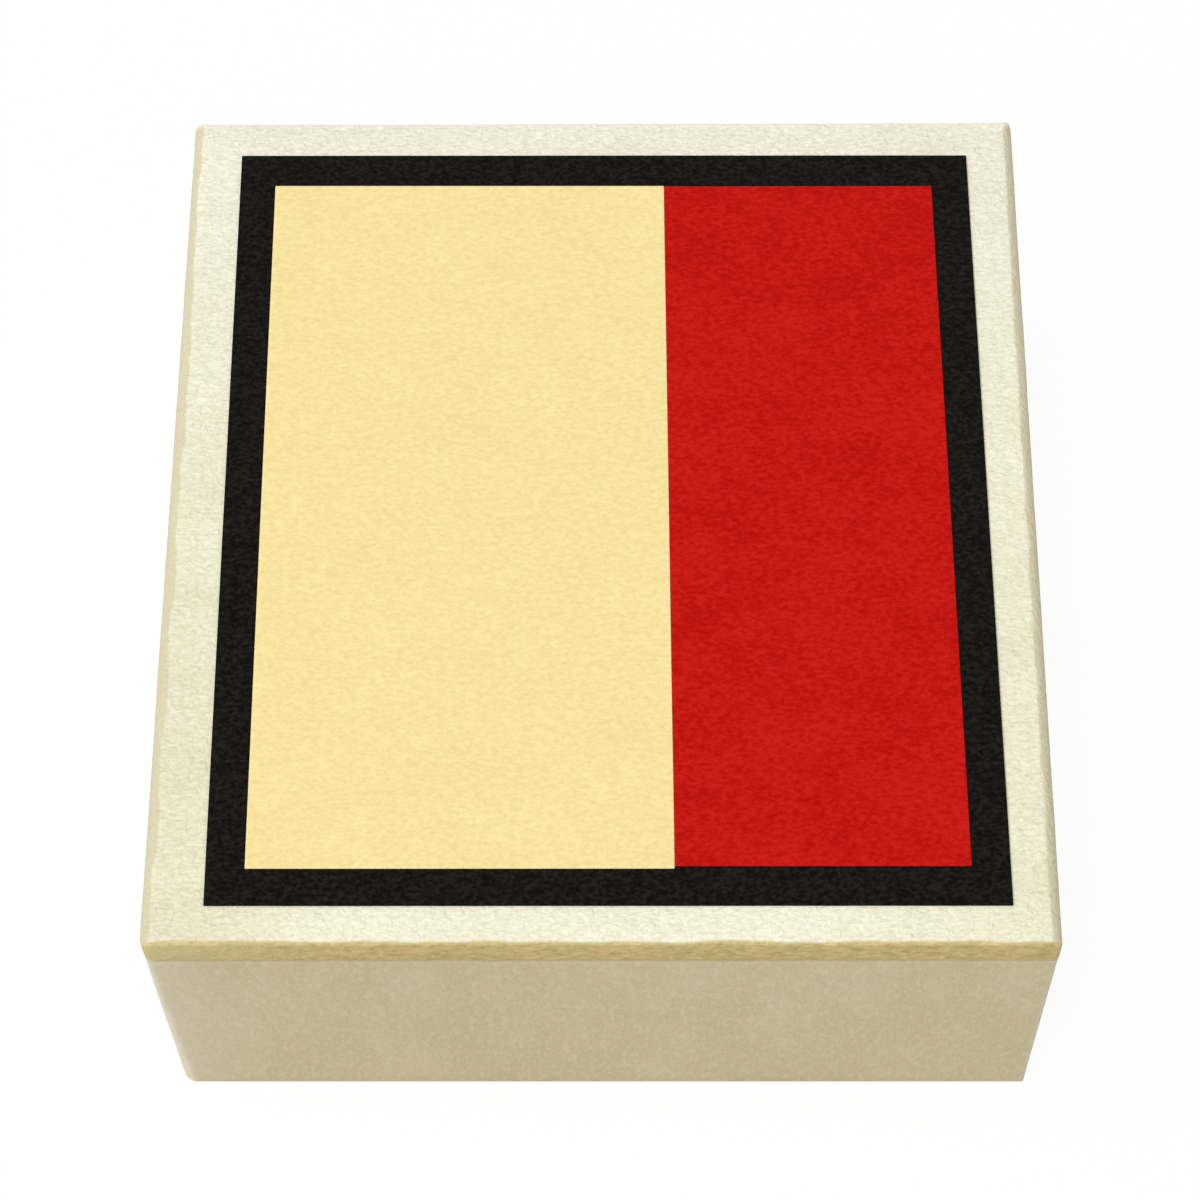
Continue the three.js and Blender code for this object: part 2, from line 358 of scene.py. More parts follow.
base_rings = []
for inset, height in base_outside + base_glued_side:
    knock = knocked_corner * (1 - (height - base_low.z) / (base_high.z - base_low.z)) ** 1.3
    radii = (base_corner[0] + knock,) + base_corner[1:]
    least = least_radius if len(base_rings) >= len(base_outside) else inner_corner
    radius = tuple(max(corner - inset, least) for corner in radii)
    swell = base_swell * max(0.0, 1 - inset / cover_paper)
    base_rings.append(ring(
        base_half_x + swell - inset, base_half_y + swell - inset, radius, height, side_steps))
base_cover = skin("base_cover", base_rings, closed=True)
# The dents run from the foot of the walls to the middle of their rim.
pressed = {"first": first_pressed * len(base_rings[0]), "last": last_pressed * len(base_rings[0])}
press_in(base_cover, 0.00005, 0.018, **pressed)
press_in(base_cover, 0.00002, 0.005, shift=7.0, **pressed)


def plus(first, second):
    return calc("ADD", first, second)


def axes(vector):
    return add(vector.id_data, "ShaderNodeSeparateXYZ", {0: vector}).outputs


# Lap seam: the line where the end of the paper lies over the paper beneath it, on the two end
# faces, at a set distance from the corners.
lap_seam, inlet, outlet = start_group(
    "lap_seam", {"Half Width": 0.05, "Seam": 0.045, "Line": 0.00008}, ["Line", "Step"])
split = axes(inlet["Vector"])
away_x = calc("ABSOLUTE", split["X"])
away_y = calc("ABSOLUTE", split["Y"])
face_start = calc("SUBTRACT", inlet["Half Width"], 0.0005)
on_end_face = calc("GREATER_THAN", away_x, face_start)
seam_wander = 0.0004
seam_noise = clouds(inlet["Vector"], 150.0)
wobble = ramped(seam_noise, 0.0, 1.0, -seam_wander, seam_wander)
from_seam = plus(calc("SUBTRACT", away_y, inlet["Seam"]), wobble)
seam_away = calc("ABSOLUTE", from_seam)
seam_near = calc("DIVIDE", seam_away, inlet["Line"])
seam_line = times(ramped(seam_near, 0.0, 1.0, 1.0, 0.0), on_end_face)
seam_share = calc("DIVIDE", from_seam, inlet["Line"])
seam_step = times(ramped(seam_share, -1.0, 1.0), on_end_face)
lap_seam.links.new(seam_line, outlet["Line"])
lap_seam.links.new(seam_step, outlet["Step"])


def mapped(place, scale, turn=(0.0, 0.0, 0.0)):
    inputs = {"Vector": place, "Rotation": turn, "Scale": scale}
    return add(place.id_data, "ShaderNodeMapping", inputs).outputs[0]


base_paper, surface, place = start_finish("base_paper", roughness=0.9, gloss=0.1)
upright = mapped(place, (1.0, 1.0, 0.42))
grain = use_group(paper_grain, upright, Grain=3600.0, Cloud=140.0)
specks = use_group(pulp_flecks, upright, Scale=1300.0, Amount=0.27)["Mask"]
base_lap = 0.011
seam = use_group(
    lap_seam, place, **{"Half Width": base_half_x, "Seam": base_half_y - base_lap})
tone = plus(times(grain["Fine"], 0.6), times(grain["Cloudy"], 0.4))
tint = clouds(place, 420.0, Detail=2.0)
dark_tan = blended(tint, paint(214, 195, 159), paint(206, 198, 156))
tan = blended(ramped(tone, 0.33, 0.67), dark_tan, paint(221, 208, 171))
tan = blended(times(specks, 0.35), tan, paint(230, 219, 187))
# The upright corner at the front left has a painted highlight, more so towards its foot.
foot_highlight = 0.0016
rim_highlight = 0.001
split = axes(place)
from_left = plus(split["X"], base_half_x + 0.0001)
from_front = plus(split["Y"], base_half_y)
highlight_width = ramped(split["Z"], base_low.z, base_high.z, foot_highlight, rim_highlight)
highlight_share = calc("DIVIDE", from_left, highlight_width)
highlight_wave = ramped(tint, 0.3, 0.7, -0.15, 0.15)
corner_highlight = ramped(plus(highlight_share, highlight_wave), 0.4, 1.2, 1.0, 0.0)
corner_highlight = times(corner_highlight, ramped(from_front, 0.0012, 0.0024, 1.0, 0.0))
tan = blended(corner_highlight, tan, paint(238, 230, 210))
# The front is painted a little lighter beside both upright corners, as a highlight.
left_highlight = ramped(split["X"], -base_half_x, -base_half_x + 0.012, 0.35, 0.0)
right_highlight = ramped(split["X"], base_half_x - 0.0009, base_half_x, 0.0, 0.45)
near_front = ramped(from_front, 0.0008, 0.004, 1.0, 0.0)
side_highlights = times(plus(left_highlight, right_highlight), near_front)
tan = blended(side_highlights, tan, paint(231, 221, 196))
# The rim is painted darker just under the lid, as the lid's shadow.
shadow_start = base_high.z - 0.0008
shadow_full = base_high.z - 0.0003
shadow_edge = plus(split["Z"], ramped(tint, 0.3, 0.7, -0.0001, 0.0001))
lid_shadow = ramped(shadow_edge, shadow_start, shadow_full, 0.0, 0.6)
tan = blended(lid_shadow, tan, paint(198, 178, 130))
tan = blended(times(seam["Line"], 0.5), tan, paint(160, 146, 112))
base_relief = plus(tone, times(seam["Step"], 4.0))
coat(surface, tan, base_relief, 0.00003)

base_cover.data.materials.append(base_paper)
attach(base_cover, "base")
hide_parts("base_wrap")


# ---- Sheet under the base ----
# A sheet of the same paper is glued under the box. It hides the turned-in edge, stops a little
# short of the box's sides all round, and is the face that the box stands on.

def flat_sheet(name, low, high, edge, corner, steps=(60, 66), warp=None):
    """A thin sheet between two corners, with softened edges and points all over its faces. Warp is
    called for each point, and may move it."""
    middle = (low + high) / 2
    half_x = (high.x - low.x) / 2
    half_y = (high.y - low.y) / 2
    reach = min(half_x, half_y) * 0.98
    insets = [reach * share for share in (1.0, 0.8, 0.6, 0.45, 0.32, 0.22, 0.14, 0.08, 0.045, 0.02)]
    section = (
        [(inset, low.z) for inset in insets]
        + bend(edge, low.z + edge, edge, edge, -90, 3)
        + bend(edge, high.z - edge, edge, edge, 0, 3)
        + [(inset, high.z) for inset in reversed(insets)])
    rings = []
    for inset, height in section:
        radius = min(max(corner - inset, edge / 2), (half_x - inset) / 2)
        course = centred(ring(half_x - inset, half_y - inset, radius, height, steps, 3), middle)
        for point in course:
            if warp:
                warp(point)
        rings.append(course)
    return skin(name, rings)


underside_edge = 0.00008
underside_corner = 0.0006
underside_sheet = flat_sheet(
    "underside_sheet", *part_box("base_underside_sheet"), underside_edge, underside_corner)
underside_sheet.data.materials.append(base_paper)
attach(underside_sheet, "base")
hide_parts("base_underside_sheet")


# ---- Lining and filler sheets of the base ----
# White lining paper covers the floor inside the tray. A filler sheet of the same stock levels the
# underside between the turned-in edges, so that the sheet over it lies flat.

lining_paper, surface, place = start_finish("lining_paper", roughness=0.85, gloss=0.3)
grain = use_group(paper_grain, place, Grain=1600.0, Stretch=1.5, Cloud=90.0)
fine = ramped(grain["Fine"], 0.3, 0.7)
white = blended(fine, paint(228, 223, 210), paint(238, 234, 223))
coat(surface, white, grain["Fine"], 0.00003)

for name in ("base_infill_sheet", "lid_infill_sheet"):
    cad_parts[name].material_slots[0].material = lining_paper

lining_edge = 0.00005
lining_corner = 0.0004
floor_lining = flat_sheet(
    "floor_lining", *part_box("base_floor_lining"), lining_edge, lining_corner)
floor_lining.data.materials.append(lining_paper)
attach(floor_lining, "base")
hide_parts("base_floor_lining")


# ---- Card stand ----
# Strips of white card stand on edge inside the walls and carry the platform. Two more strips carry
# the bed under the stick. All are cut from one sheet and glued to the floor.

insert_card, surface, place = start_finish("insert_card", roughness=0.8, gloss=0.35)
grain = use_group(paper_grain, place, Grain=1300.0, Stretch=1.3, Cloud=70.0)
specks = use_group(pulp_flecks, place, Scale=1200.0, Amount=0.25)["Mask"]
fine = ramped(grain["Fine"], 0.3, 0.7)
white = blended(fine, paint(233, 226, 210), paint(243, 238, 225))
white = blended(times(specks, 0.4), white, paint(214, 204, 182))
coat(surface, white, grain["Fine"], 0.00004)

for name in (
        "platform_riser_front", "platform_riser_back", "platform_riser_left",
        "platform_riser_right", "bed_leg_left", "bed_leg_right", "bed_board"):
    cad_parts[name].material_slots[0].material = insert_card


# ---- Bed lining ----
# A strip of flocked paper lies on the bed, so that the stick rests on something soft. Short fibres
# stand upright all over it, shot into wet glue.

def scatter_tree():
    """Strands set on the marked faces of a mesh, each turned, leaned and sized by chance."""
    scatter = bpy.data.node_groups.new("strand_scatter", "GeometryNodeTree")
    for label, kind in (
            ("Geometry", "Geometry"), ("Strand", "Object"), ("Density", "Float"), ("Lean", "Float"),
            ("Swing", "Float"), ("Least Size", "Float"), ("Most Size", "Float"), ("Seed", "Int"),
            ("Finish", "Material")):
        scatter.interface.new_socket(label, in_out="INPUT", socket_type="NodeSocket" + kind)
    scatter.interface.new_socket("Geometry", in_out="OUTPUT", socket_type="NodeSocketGeometry")
    inlet = scatter.nodes.new("NodeGroupInput").outputs
    outlet = scatter.nodes.new("NodeGroupOutput").inputs

    def chance(low, high, order):
        """A random value from low to high, drawn with a seed of its own."""
        seed = plus(inlet["Seed"], float(order))
        ends = {"Seed": seed, 2: low, 3: high}
        return add(scatter, "FunctionNodeRandomValue", ends, data_type="FLOAT").outputs[1]

    def vector_math(operation, first, second):
        made = add(scatter, "ShaderNodeVectorMath", {0: first, 1: second}, operation=operation)
        return made.outputs[0]

    marked = add(scatter, "GeometryNodeInputNamedAttribute", {"Name": "strands"}, data_type="BOOLEAN")
    points = add(scatter, "GeometryNodeDistributePointsOnFaces", {
        "Mesh": inlet["Geometry"], "Selection": marked.outputs["Attribute"],
        "Density": inlet["Density"], "Seed": inlet["Seed"]})
    outward = points.outputs["Normal"]
    swing_back = times(inlet["Swing"], -1.0)
    level_way = vector_math("CROSS_PRODUCT", outward, (0.0, 0.0, 1.0))
    stray = add(scatter, "ShaderNodeCombineXYZ", {
        "X": 0.001, "Y": chance(swing_back, inlet["Swing"], 1), "Z": chance(-0.3, 0.3, 2)})
    on_top = add(scatter, "ShaderNodeCombineXYZ", {"X": axes(outward)["Z"]})
    heading = vector_math("ADD", level_way, stray.outputs[0])
    heading = vector_math("ADD", heading, on_top.outputs[0])
    turned = add(scatter, "FunctionNodeAlignRotationToVector", {
        "Rotation": points.outputs["Rotation"], "Vector": heading}, axis="X", pivot_axis="Z")
    lean_back = times(inlet["Lean"], -1.0)
    lean = add(scatter, "ShaderNodeCombineXYZ", {
        "X": chance(lean_back, inlet["Lean"], 3), "Y": chance(lean_back, inlet["Lean"], 4)})
    lean_turn = add(scatter, "FunctionNodeEulerToRotation", {0: lean.outputs[0]})
    leaned = add(scatter, "FunctionNodeRotateRotation", {
        0: turned.outputs[0], 1: lean_turn.outputs[0]}, rotation_space="LOCAL")
    strand = add(scatter, "GeometryNodeObjectInfo", {"Object": inlet["Strand"]})
    size = chance(inlet["Least Size"], inlet["Most Size"], 5)
    placed = add(scatter, "GeometryNodeInstanceOnPoints", {
        "Points": points.outputs["Points"], "Instance": strand.outputs["Geometry"],
        "Rotation": leaned.outputs[0], "Scale": size})
    shaded = add(scatter, "GeometryNodeStoreNamedAttribute", {
        "Geometry": placed.outputs["Instances"], "Name": "strand_tone",
        "Value": chance(0.0, 1.0, 6)}, data_type="FLOAT", domain="INSTANCE")
    real = add(scatter, "GeometryNodeRealizeInstances", {"Geometry": shaded.outputs["Geometry"]})
    dressed = add(scatter, "GeometryNodeSetMaterial", {
        "Geometry": real.outputs["Geometry"], "Material": inlet["Finish"]})
    scatter.links.new(dressed.outputs["Geometry"], outlet["Geometry"])
    return scatter


def finished_mesh(piece):
    """The plain mesh that an object ends up as. The object itself goes."""
    shown = piece.evaluated_get(bpy.context.evaluated_depsgraph_get())
    mesh = bpy.data.meshes.new_from_object(shown)
    bpy.data.objects.remove(piece)
    return mesh


def scattered(name, host, is_marked, strand, finish, **values):
    """A plain mesh of strands over the faces of host that is_marked picks."""
    mesh = host.data.copy()
    marks = mesh.attributes.new("strands", "BOOLEAN", "FACE")
    for index, face in enumerate(mesh.polygons):
        marks.data[index].value = is_marked(face)
    ground = put(name + "_ground", mesh)
    modifier = ground.modifiers.new("strands", "NODES")
    modifier.node_group = strand_scatter
    values.update(Strand=strand, Finish=finish)
    for socket in strand_scatter.interface.items_tree:
        label = socket.name.replace(" ", "")
        if socket.in_out == "INPUT" and label in values:
            modifier[socket.identifier] = values[label]
    return put(name, finished_mesh(ground))


def strand_mesh(name, path, thickness, sides=3):
    """A tapered strand along a path of points, in its own frame."""
    rings = []
    for order, point in enumerate(path):
        share = order / (len(path) - 1)
        radius = thickness / 2 * (0.35 + 0.65 * math.sin(math.pi * min(max(share, 0.08), 0.92)))
        ahead = path[min(order + 1, len(path) - 1)] - path[max(order - 1, 0)]
        across = ahead.orthogonal().normalized()
        over = ahead.cross(across).normalized()
        course = []
        for side in range(sides):
            angle = 2 * math.pi * side / sides
            course.append(point + radius * (math.cos(angle) * across + math.sin(angle) * over))
        rings.append(course)
    return skin(name, rings, sharp=False)


strand_scatter = scatter_tree()

bed_flock, surface, place = start_finish("bed_flock", roughness=1.0, gloss=0.1)
surface.inputs["Sheen Weight"].default_value = 0.25
surface.inputs["Sheen Roughness"].default_value = 0.6
grain = use_group(paper_grain, place, Grain=2200.0, Cloud=140.0)
fine = ramped(grain["Fine"], 0.3, 0.7)
pile = blended(fine, paint(158, 139, 98), paint(199, 181, 138))
pile = blended(times(grain["Cloudy"], 0.4), pile, paint(206, 188, 146))
coat(surface, pile, grain["Fine"], 0.00012)

bed_low, bed_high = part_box("bed_lining")
flock_height = 0.0001
bed_top = bed_high - Vector((0, 0, flock_height))
bed_sheet = flat_sheet("bed_sheet", bed_low, bed_top, lining_edge, lining_corner, (40, 90))
bed_sheet.data.materials.append(bed_flock)
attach(bed_sheet, "base")
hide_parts("bed_lining")

tuft_thickness = 0.00006
tuft_path = [Vector((0, 0, 0)), Vector((0, 0, flock_height * 0.9))]
tuft = strand_mesh("tuft", tuft_path, tuft_thickness)
flock_tufts = scattered(
    "flock_tufts", bed_sheet, lambda face: face.normal.z > 0.9, tuft, bed_flock,
    Density=3.0e6, Lean=0.35, Swing=3.0, LeastSize=0.6, MostSize=1.0, Seed=4)
bpy.data.objects.remove(tuft)
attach(flock_tufts, "base")


# ---- Platform ----
# A die-cut card platform fills the tray from wall to wall. It has one long slot for the stick, with
# a half-round finger notch in each long side. The die presses its cut edges slightly round.

platform_low, platform_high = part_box("platform_board")
stick_low, stick_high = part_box("ink_stick")
slot_gap = 0.0004
notch_radius = 0.009
cut_round = 0.00018
slot_x = stick_high.x + slot_gap
slot_y = stick_high.y + slot_gap


def closed_outline(curve, points):
    spline = curve.splines.new("POLY")
    spline.points.add(len(points) - 1)
    for target, (x, y) in zip(spline.points, points):
        target.co = (x, y, 0, 1)
    spline.use_cyclic_u = True


def arc(x, y, radius, start, sweep=90, steps=5):
    turn = []
    for step in range(steps + 1):
        angle = math.radians(start + sweep * step / steps)
        turn.append((x + radius * math.cos(angle), y + radius * math.sin(angle)))
    return turn


platform_curve = bpy.data.curves.new("platform", "CURVE")
platform_curve.dimensions = "2D"
platform_curve.fill_mode = "BOTH"
outer_round = 0.0004
outer_x = platform_high.x - outer_round
outer_y = platform_high.y - outer_round
closed_outline(
    platform_curve,
    arc(outer_x, outer_y, outer_round, 0) + arc(-outer_x, outer_y, outer_round, 90)
    + arc(-outer_x, -outer_y, outer_round, 180) + arc(outer_x, -outer_y, outer_round, 270))
slot_round = 0.0005
inner_x = slot_x - slot_round
inner_y = slot_y - slot_round
closed_outline(
    platform_curve,
    arc(slot_x, 0, notch_radius, -90, 180, 28)
    + arc(inner_x, inner_y, slot_round, 0) + arc(-inner_x, inner_y, slot_round, 90)
    + arc(-slot_x, 0, notch_radius, 90, 180, 28)
    + arc(-inner_x, -inner_y, slot_round, 180) + arc(inner_x, -inner_y, slot_round, 270))
platform_curve.extrude = (platform_high.z - platform_low.z) / 2 - cut_round
platform_curve.bevel_depth = cut_round
platform_curve.bevel_resolution = 2
platform_curve.offset = -cut_round
platform_mesh = finished_mesh(put("platform_form", platform_curve))
platform_mesh.transform(Matrix.Translation((0, 0, (platform_low.z + platform_high.z) / 2)))
work = bmesh.new()
work.from_mesh(platform_mesh)
bmesh.ops.remove_doubles(work, verts=work.verts, dist=0.000001)
bmesh.ops.recalc_face_normals(work, faces=work.faces)
work.to_mesh(platform_mesh)
work.free()
soften(platform_mesh)
platform = put("platform", platform_mesh)
platform.data.materials.clear()
platform.data.materials.append(insert_card)
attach(platform, "base")
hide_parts("platform_board")


# ---- Ink stick ----
# A bar of pine soot and glue, pressed in a wooden mould and dried slowly. Both broad faces have a
# plain sunk panel with a raised border. It is near black, with a dull polish and fine pits.

stick_edge = 0.0016
border = 0.0032
panel_depth = 0.0004
panel_round = 0.0025
panel_slope = 0.0003
inner_round = 0.0003


def stick_face(height, sink):
    """One broad face from its edge to its middle line, as (inset, height, corner)."""
    rim = []
    for inset in (0.0019, 0.0024, 0.0029):
        rim.append((inset, height, 0.0004 + (inset - stick_edge) * 1.1))
    brink = [
        (border, height, panel_round),
        (border + 0.00008, height + sink * 0.12, panel_round),
        (border + panel_slope * 0.6, height + sink * 0.75, panel_round),
        (border + panel_slope, height + sink, panel_round - panel_slope)]
    panel = []
    for inset in (0.0038, 0.0045, 0.0055, 0.0067, 0.008, 0.0093, 0.0104):
        panel.append((inset, height + sink, max(0.0055 - inset, inner_round)))
    return rim + brink + panel


def stick_bend(height, start):
    """A moulded edge, a quarter turn about a height, as (inset, height, corner)."""
    turn = bend(stick_edge, height, stick_edge, stick_edge, start, 8)
    return [(inset, level, max(stick_edge - inset, inner_round)) for inset, level in turn]


side_low = stick_low.z + stick_edge
side_high = stick_high.z - stick_edge
stick_section = (
    stick_face(stick_low.z, panel_depth)[::-1] + stick_bend(side_low, -90)
    + [(0.0, height, stick_edge) for height in steps_between(side_low, side_high, 10)]
    + stick_bend(side_high, 0) + stick_face(stick_high.z, -panel_depth))
stick_rings = [
    ring(stick_high.x - inset, stick_high.y - inset, corner, height, (34, 120), 8)
    for inset, height, corner in stick_section]
ink_bar = skin("ink_bar", stick_rings)
press_in(ink_bar, 0.00006, 0.012)
press_in(ink_bar, 0.00003, 0.003, shift=3.0)

ink, surface, place = start_finish("ink", roughness=0.45, gloss=0.5)
grain = use_group(paper_grain, place, Grain=900.0, Stretch=0.5, Cloud=120.0)
pits = use_group(pulp_flecks, place, Scale=1800.0, Amount=0.24)["Mask"]
soot = blended(grain["Cloudy"], paint(17, 17, 20), paint(29, 29, 32))
soot = blended(times(pits, 0.6), soot, paint(44, 43, 44))
polish = ramped(grain["Fine"], 0.3, 0.7, 0.34, 0.56)
surface.id_data.links.new(polish, surface.inputs["Roughness"])
ink_relief = calc("SUBTRACT", grain["Fine"], times(pits, 0.8))
coat(surface, soot, ink_relief, 0.00004)
ink_bar.data.materials.append(ink)
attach(ink_bar, "ink_stick")
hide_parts("ink_stick")


# ---- Covering paper of the lid ----
# The lid is wrapped in pale handmade paper with long matted fibres. It covers the top and runs down
# over the edges, where it is golden, and turns in beneath. The edges are rubbed round, and the sheet
# is slightly uneven all over.

lid_low, lid_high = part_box("lid_wrap")
board_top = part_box("lid_top_board")[1].z
board_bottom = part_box("lid_under_board")[0].z
lid_half_x = lid_high.x
lid_half_y = lid_high.y
lid_turn_in = lid_half_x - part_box("lid_infill_sheet")[1].x
lid_corner = (0.0011, 0.0005, 0.0005, 0.0005)
lower_edge = 0.0001
under_label = 0.014


def shoulder(depth, width, fall, fullness):
    """How far the paper has turned in, at a depth below the top, where it turns in by width over
    the last fall of its height. A fullness of 2 is round, and 1 is a flat slope."""
    if depth >= fall:
        return 0.0
    return width * (1 - (1 - (1 - depth / fall) ** fullness) ** (1 / fullness))


# The two end edges have been rubbed to a broad slope, and the front and back edges to a small round.
end_width = 0.0013
end_fall = 0.0012
end_fullness = 1.35
front_width = 0.0007
front_fall = 0.0007
front_fullness = 2.0
shoulder_depths = [end_fall * (1 - step / 14) ** 1.7 for step in range(15)]

# At the back corners the folded paper is pinched to a point, and keeps its full depth.
pinch_reach = 0.0012
pinch_length = 0.0028
pinch_x = 0.55
pinch_y = 0.85

# The section runs round the glued side and then round the outside, as insets along X and Y and a
# height.
lid_section = [
    (under_label, under_label, board_top), (0.0016, 0.0006, board_top),
    (0.0011, 0.00045, board_top - 0.0001), (0.0007, cover_paper, board_top - 0.0004),
    (cover_paper, cover_paper, board_top - 0.0009), (cover_paper, cover_paper, board_bottom),
    (lid_turn_in, lid_turn_in, board_bottom)]
lid_section += [(inset, inset, lid_low.z) for inset in (lid_turn_in, 0.006, 0.003, 0.001)]
lid_outside_start = len(lid_section)
for inset, height in bend(lower_edge, lid_low.z + lower_edge, lower_edge, lower_edge, -90, 4):
    lid_section.append((inset, inset, height))
for height in steps_between(lid_low.z + lower_edge, lid_high.z - end_fall, 7):
    lid_section.append((0.0, 0.0, height))
for depth in shoulder_depths:
    lid_section.append((
        shoulder(depth, end_width, end_fall, end_fullness),
        shoulder(depth, front_width, front_fall, front_fullness),
        lid_high.z - depth))
top_step = 0.0005
for step in range(1, 13):
    lid_section.append((end_width + top_step * step, front_width + top_step * step, lid_high.z))
lid_outside_end = len(lid_section)
lid_section += [(0.0085, 0.0085, lid_high.z), (under_label, under_label, lid_high.z)]
lid_rings = []
for inset_x, inset_y, height in lid_section:
    mean_inset = (inset_x + inset_y) / 2
    radii = tuple(max(corner - mean_inset, inner_corner) for corner in lid_corner)
    course = ring(lid_half_x - inset_x, lid_half_y - inset_y, radii, height, side_steps)
    if lid_outside_start <= len(lid_rings) < lid_outside_end and inset_y <= front_width:
        for point in course:
            pinch = (abs(point.x) - lid_half_x + end_width + pinch_reach) / pinch_reach
            narrow = min((point.y - lid_half_y + pinch_length) / pinch_length, 1.0)
            if narrow > 0:
                point.x += math.copysign(pinch_x * inset_x * narrow ** 2, point.x) * (pinch > 0)
            if point.y > 0 and pinch > 0:
                point.y += pinch_y * inset_y * min(pinch, 1.0) ** 2
    lid_rings.append(course)
lid_cover = skin("lid_cover", lid_rings)
pressed = {
    "first": lid_outside_start * len(lid_rings[0]), "last": lid_outside_end * len(lid_rings[0])}
press_in(lid_cover, 0.00008, 0.008, **pressed)
press_in(lid_cover, 0.00004, 0.0022, shift=5.0, **pressed)

lid_paper, surface, place = start_finish("lid_paper", roughness=0.92, gloss=0.0)
grain = use_group(paper_grain, place, Grain=2700.0, Stretch=2.2, Cloud=150.0)
lid_lap = 0.008
seam = use_group(
    lap_seam, place, **{"Half Width": lid_half_x, "Seam": lid_half_y - lid_lap})
tone = plus(times(grain["Fine"], 0.7), times(grain["Cloudy"], 0.3))
# The top is darker and yellower towards its front corners. The rubbed slopes along the end edges
# are painted darker, as shade, and the paper is golden below the edges.
split = axes(place)
away_x = calc("ABSOLUTE", split["X"])
slow = clouds(place, 170.0, Detail=3.0)
at_the_ends = ramped(away_x, lid_half_x * 0.45, lid_half_x)
at_the_front = ramped(split["Y"], -lid_half_y, lid_half_y, 0.9, 0.15)
at_the_left = ramped(split["X"], -0.01, 0.01, 1.0, 0.6)
front_corner_tint = times(times(at_the_ends, at_the_front), at_the_left)
hollows = blended(front_corner_tint, paint(239, 235, 208), paint(225, 218, 184))
ridges = blended(front_corner_tint, paint(254, 251, 230), paint(243, 238, 208))
toward_back = ramped(split["Y"], 0.0, lid_half_y)
hollows = blended(toward_back, hollows, paint(234, 229, 206))
ridges = blended(toward_back, ridges, paint(252, 249, 231))
pale = blended(ramped(tone, 0.32, 0.66), hollows, ridges)
crease = ramped(grain["Crease"], 0.0, 1.0, 0.2, 0.0)
pale = blended(crease, pale, paint(220, 210, 166))
drawn_out = mapped(place, (0.65, 1.0, 1.0), (0.0, 0.45, 0.0))
mottle = clouds(drawn_out, 1150.0, Detail=3.0, Roughness=0.55, Distortion=0.5)
# Painted shade: the slopes along the end edges are darker than the top.
slope_shade_reach = plus(away_x, ramped(slow, 0.3, 0.7, -0.00025, 0.00025))
slope_start = lid_half_x - end_width
slope_shade = ramped(slope_shade_reach, slope_start - 0.00015, slope_start + 0.00025, 0.0, 0.85)
rightward = ramped(split["X"], -0.01, 0.01)
slope_shade_colour = blended(rightward, paint(218, 209, 175), paint(227, 217, 183))
pale = blended(slope_shade, pale, slope_shade_colour)
# A pale band along the back edge is a painted highlight.
back_rim_highlight = ramped(split["Y"], lid_half_y - 0.0009, lid_half_y - 0.0003, 0.0, 0.7)
pale = blended(back_rim_highlight, pale, paint(254, 252, 238))

# The golden part is mottled lengthwise, and paler towards its left end.
hue = ramped(clouds(place, 330.0, Detail=2.0), 0.38, 0.62)
golden = blended(hue, paint(225, 200, 144), paint(212, 194, 136))
lower = ramped(split["Z"], lid_low.z, lid_high.z - 0.0008, 1.0, 0.0)
golden = blended(times(lower, 0.35), golden, paint(196, 174, 118))
golden = blended(ramped(mottle, 0.32, 0.5, 0.7, 0.0), golden, paint(192, 165, 112))
golden = blended(ramped(mottle, 0.5, 0.68, 0.0, 0.6), golden, paint(236, 217, 162))
paler_length = 0.024
paler_left = ramped(split["X"], -lid_half_x, -lid_half_x + paler_length, 0.55, 0.0)
golden = blended(paler_left, golden, paint(226, 213, 160))
# The golden part reaches up to a ragged line, just over the front edge and just under the slopes.
fine_ragged = ramped(mottle, 0.3, 0.7, -0.00005, 0.00005)
slow_ragged = ramped(slow, 0.3, 0.7, -0.00012, 0.00012)
ragged = plus(fine_ragged, slow_ragged)
toward_front = calc("SUBTRACT", ragged, split["Y"])
upward = plus(split["Z"], ragged)
golden_front = ramped(toward_front, lid_half_y - 0.0006, lid_half_y - 0.0002)
golden_below = ramped(upward, lid_high.z - 0.0016, lid_high.z - 0.0012, 1.0, 0.0)
golden_share = calc("MAXIMUM", golden_below, golden_front)
cover = blended(golden_share, pale, golden)
seam_shows = times(seam["Line"], times(golden_below, 0.5))
cover = blended(seam_shows, cover, paint(165, 144, 98))
# The sheet is puckered all over in short soft curves.
pucker = clouds(place, 900.0, Detail=1.5, Distortion=1.2)
seam_step = times(seam["Step"], times(golden_below, 2.0))
lid_relief = plus(tone, times(grain["Crease"], 0.25))
lid_relief = plus(lid_relief, times(pucker, 2.6))
lid_relief = plus(lid_relief, seam_step)
coat(surface, cover, lid_relief, 0.00008)
lid_cover.data.materials.append(lid_paper)
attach(lid_cover, "lid")
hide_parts("lid_wrap")

# Loose fibres of the handmade sheet lie half sunk in its outer face.
fibre_finish, surface, place = start_finish("lid_fibre", roughness=0.9, gloss=0.0)
tree = fibre_finish.node_tree
fibre_tone = add(tree, "ShaderNodeAttribute", attribute_name="strand_tone").outputs["Fac"]
fibre_height = axes(place)["Z"]
fibre_golden = ramped(fibre_height, lid_high.z - 0.001, lid_high.z - 0.0006, 1.0, 0.0)
fibre_pale = blended(fibre_tone, paint(229, 221, 190), paint(250, 247, 232))
fibre_gold = blended(fibre_tone, paint(196, 170, 110), paint(229, 212, 164))
tree.links.new(blended(fibre_golden, fibre_pale, fibre_gold), surface.inputs["Base Color"])

fibre_length = 0.0014
fibre_bow = 0.0005
fibre_thickness = 0.00004
fibre_path = []
for step in range(6):
    along = step / 5 - 0.5
    fibre_path.append(Vector((fibre_length * along, fibre_bow * (0.25 - along * along), 0)))
fibre = strand_mesh("fibre", fibre_path, fibre_thickness)
label_low, label_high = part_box("label_mount")


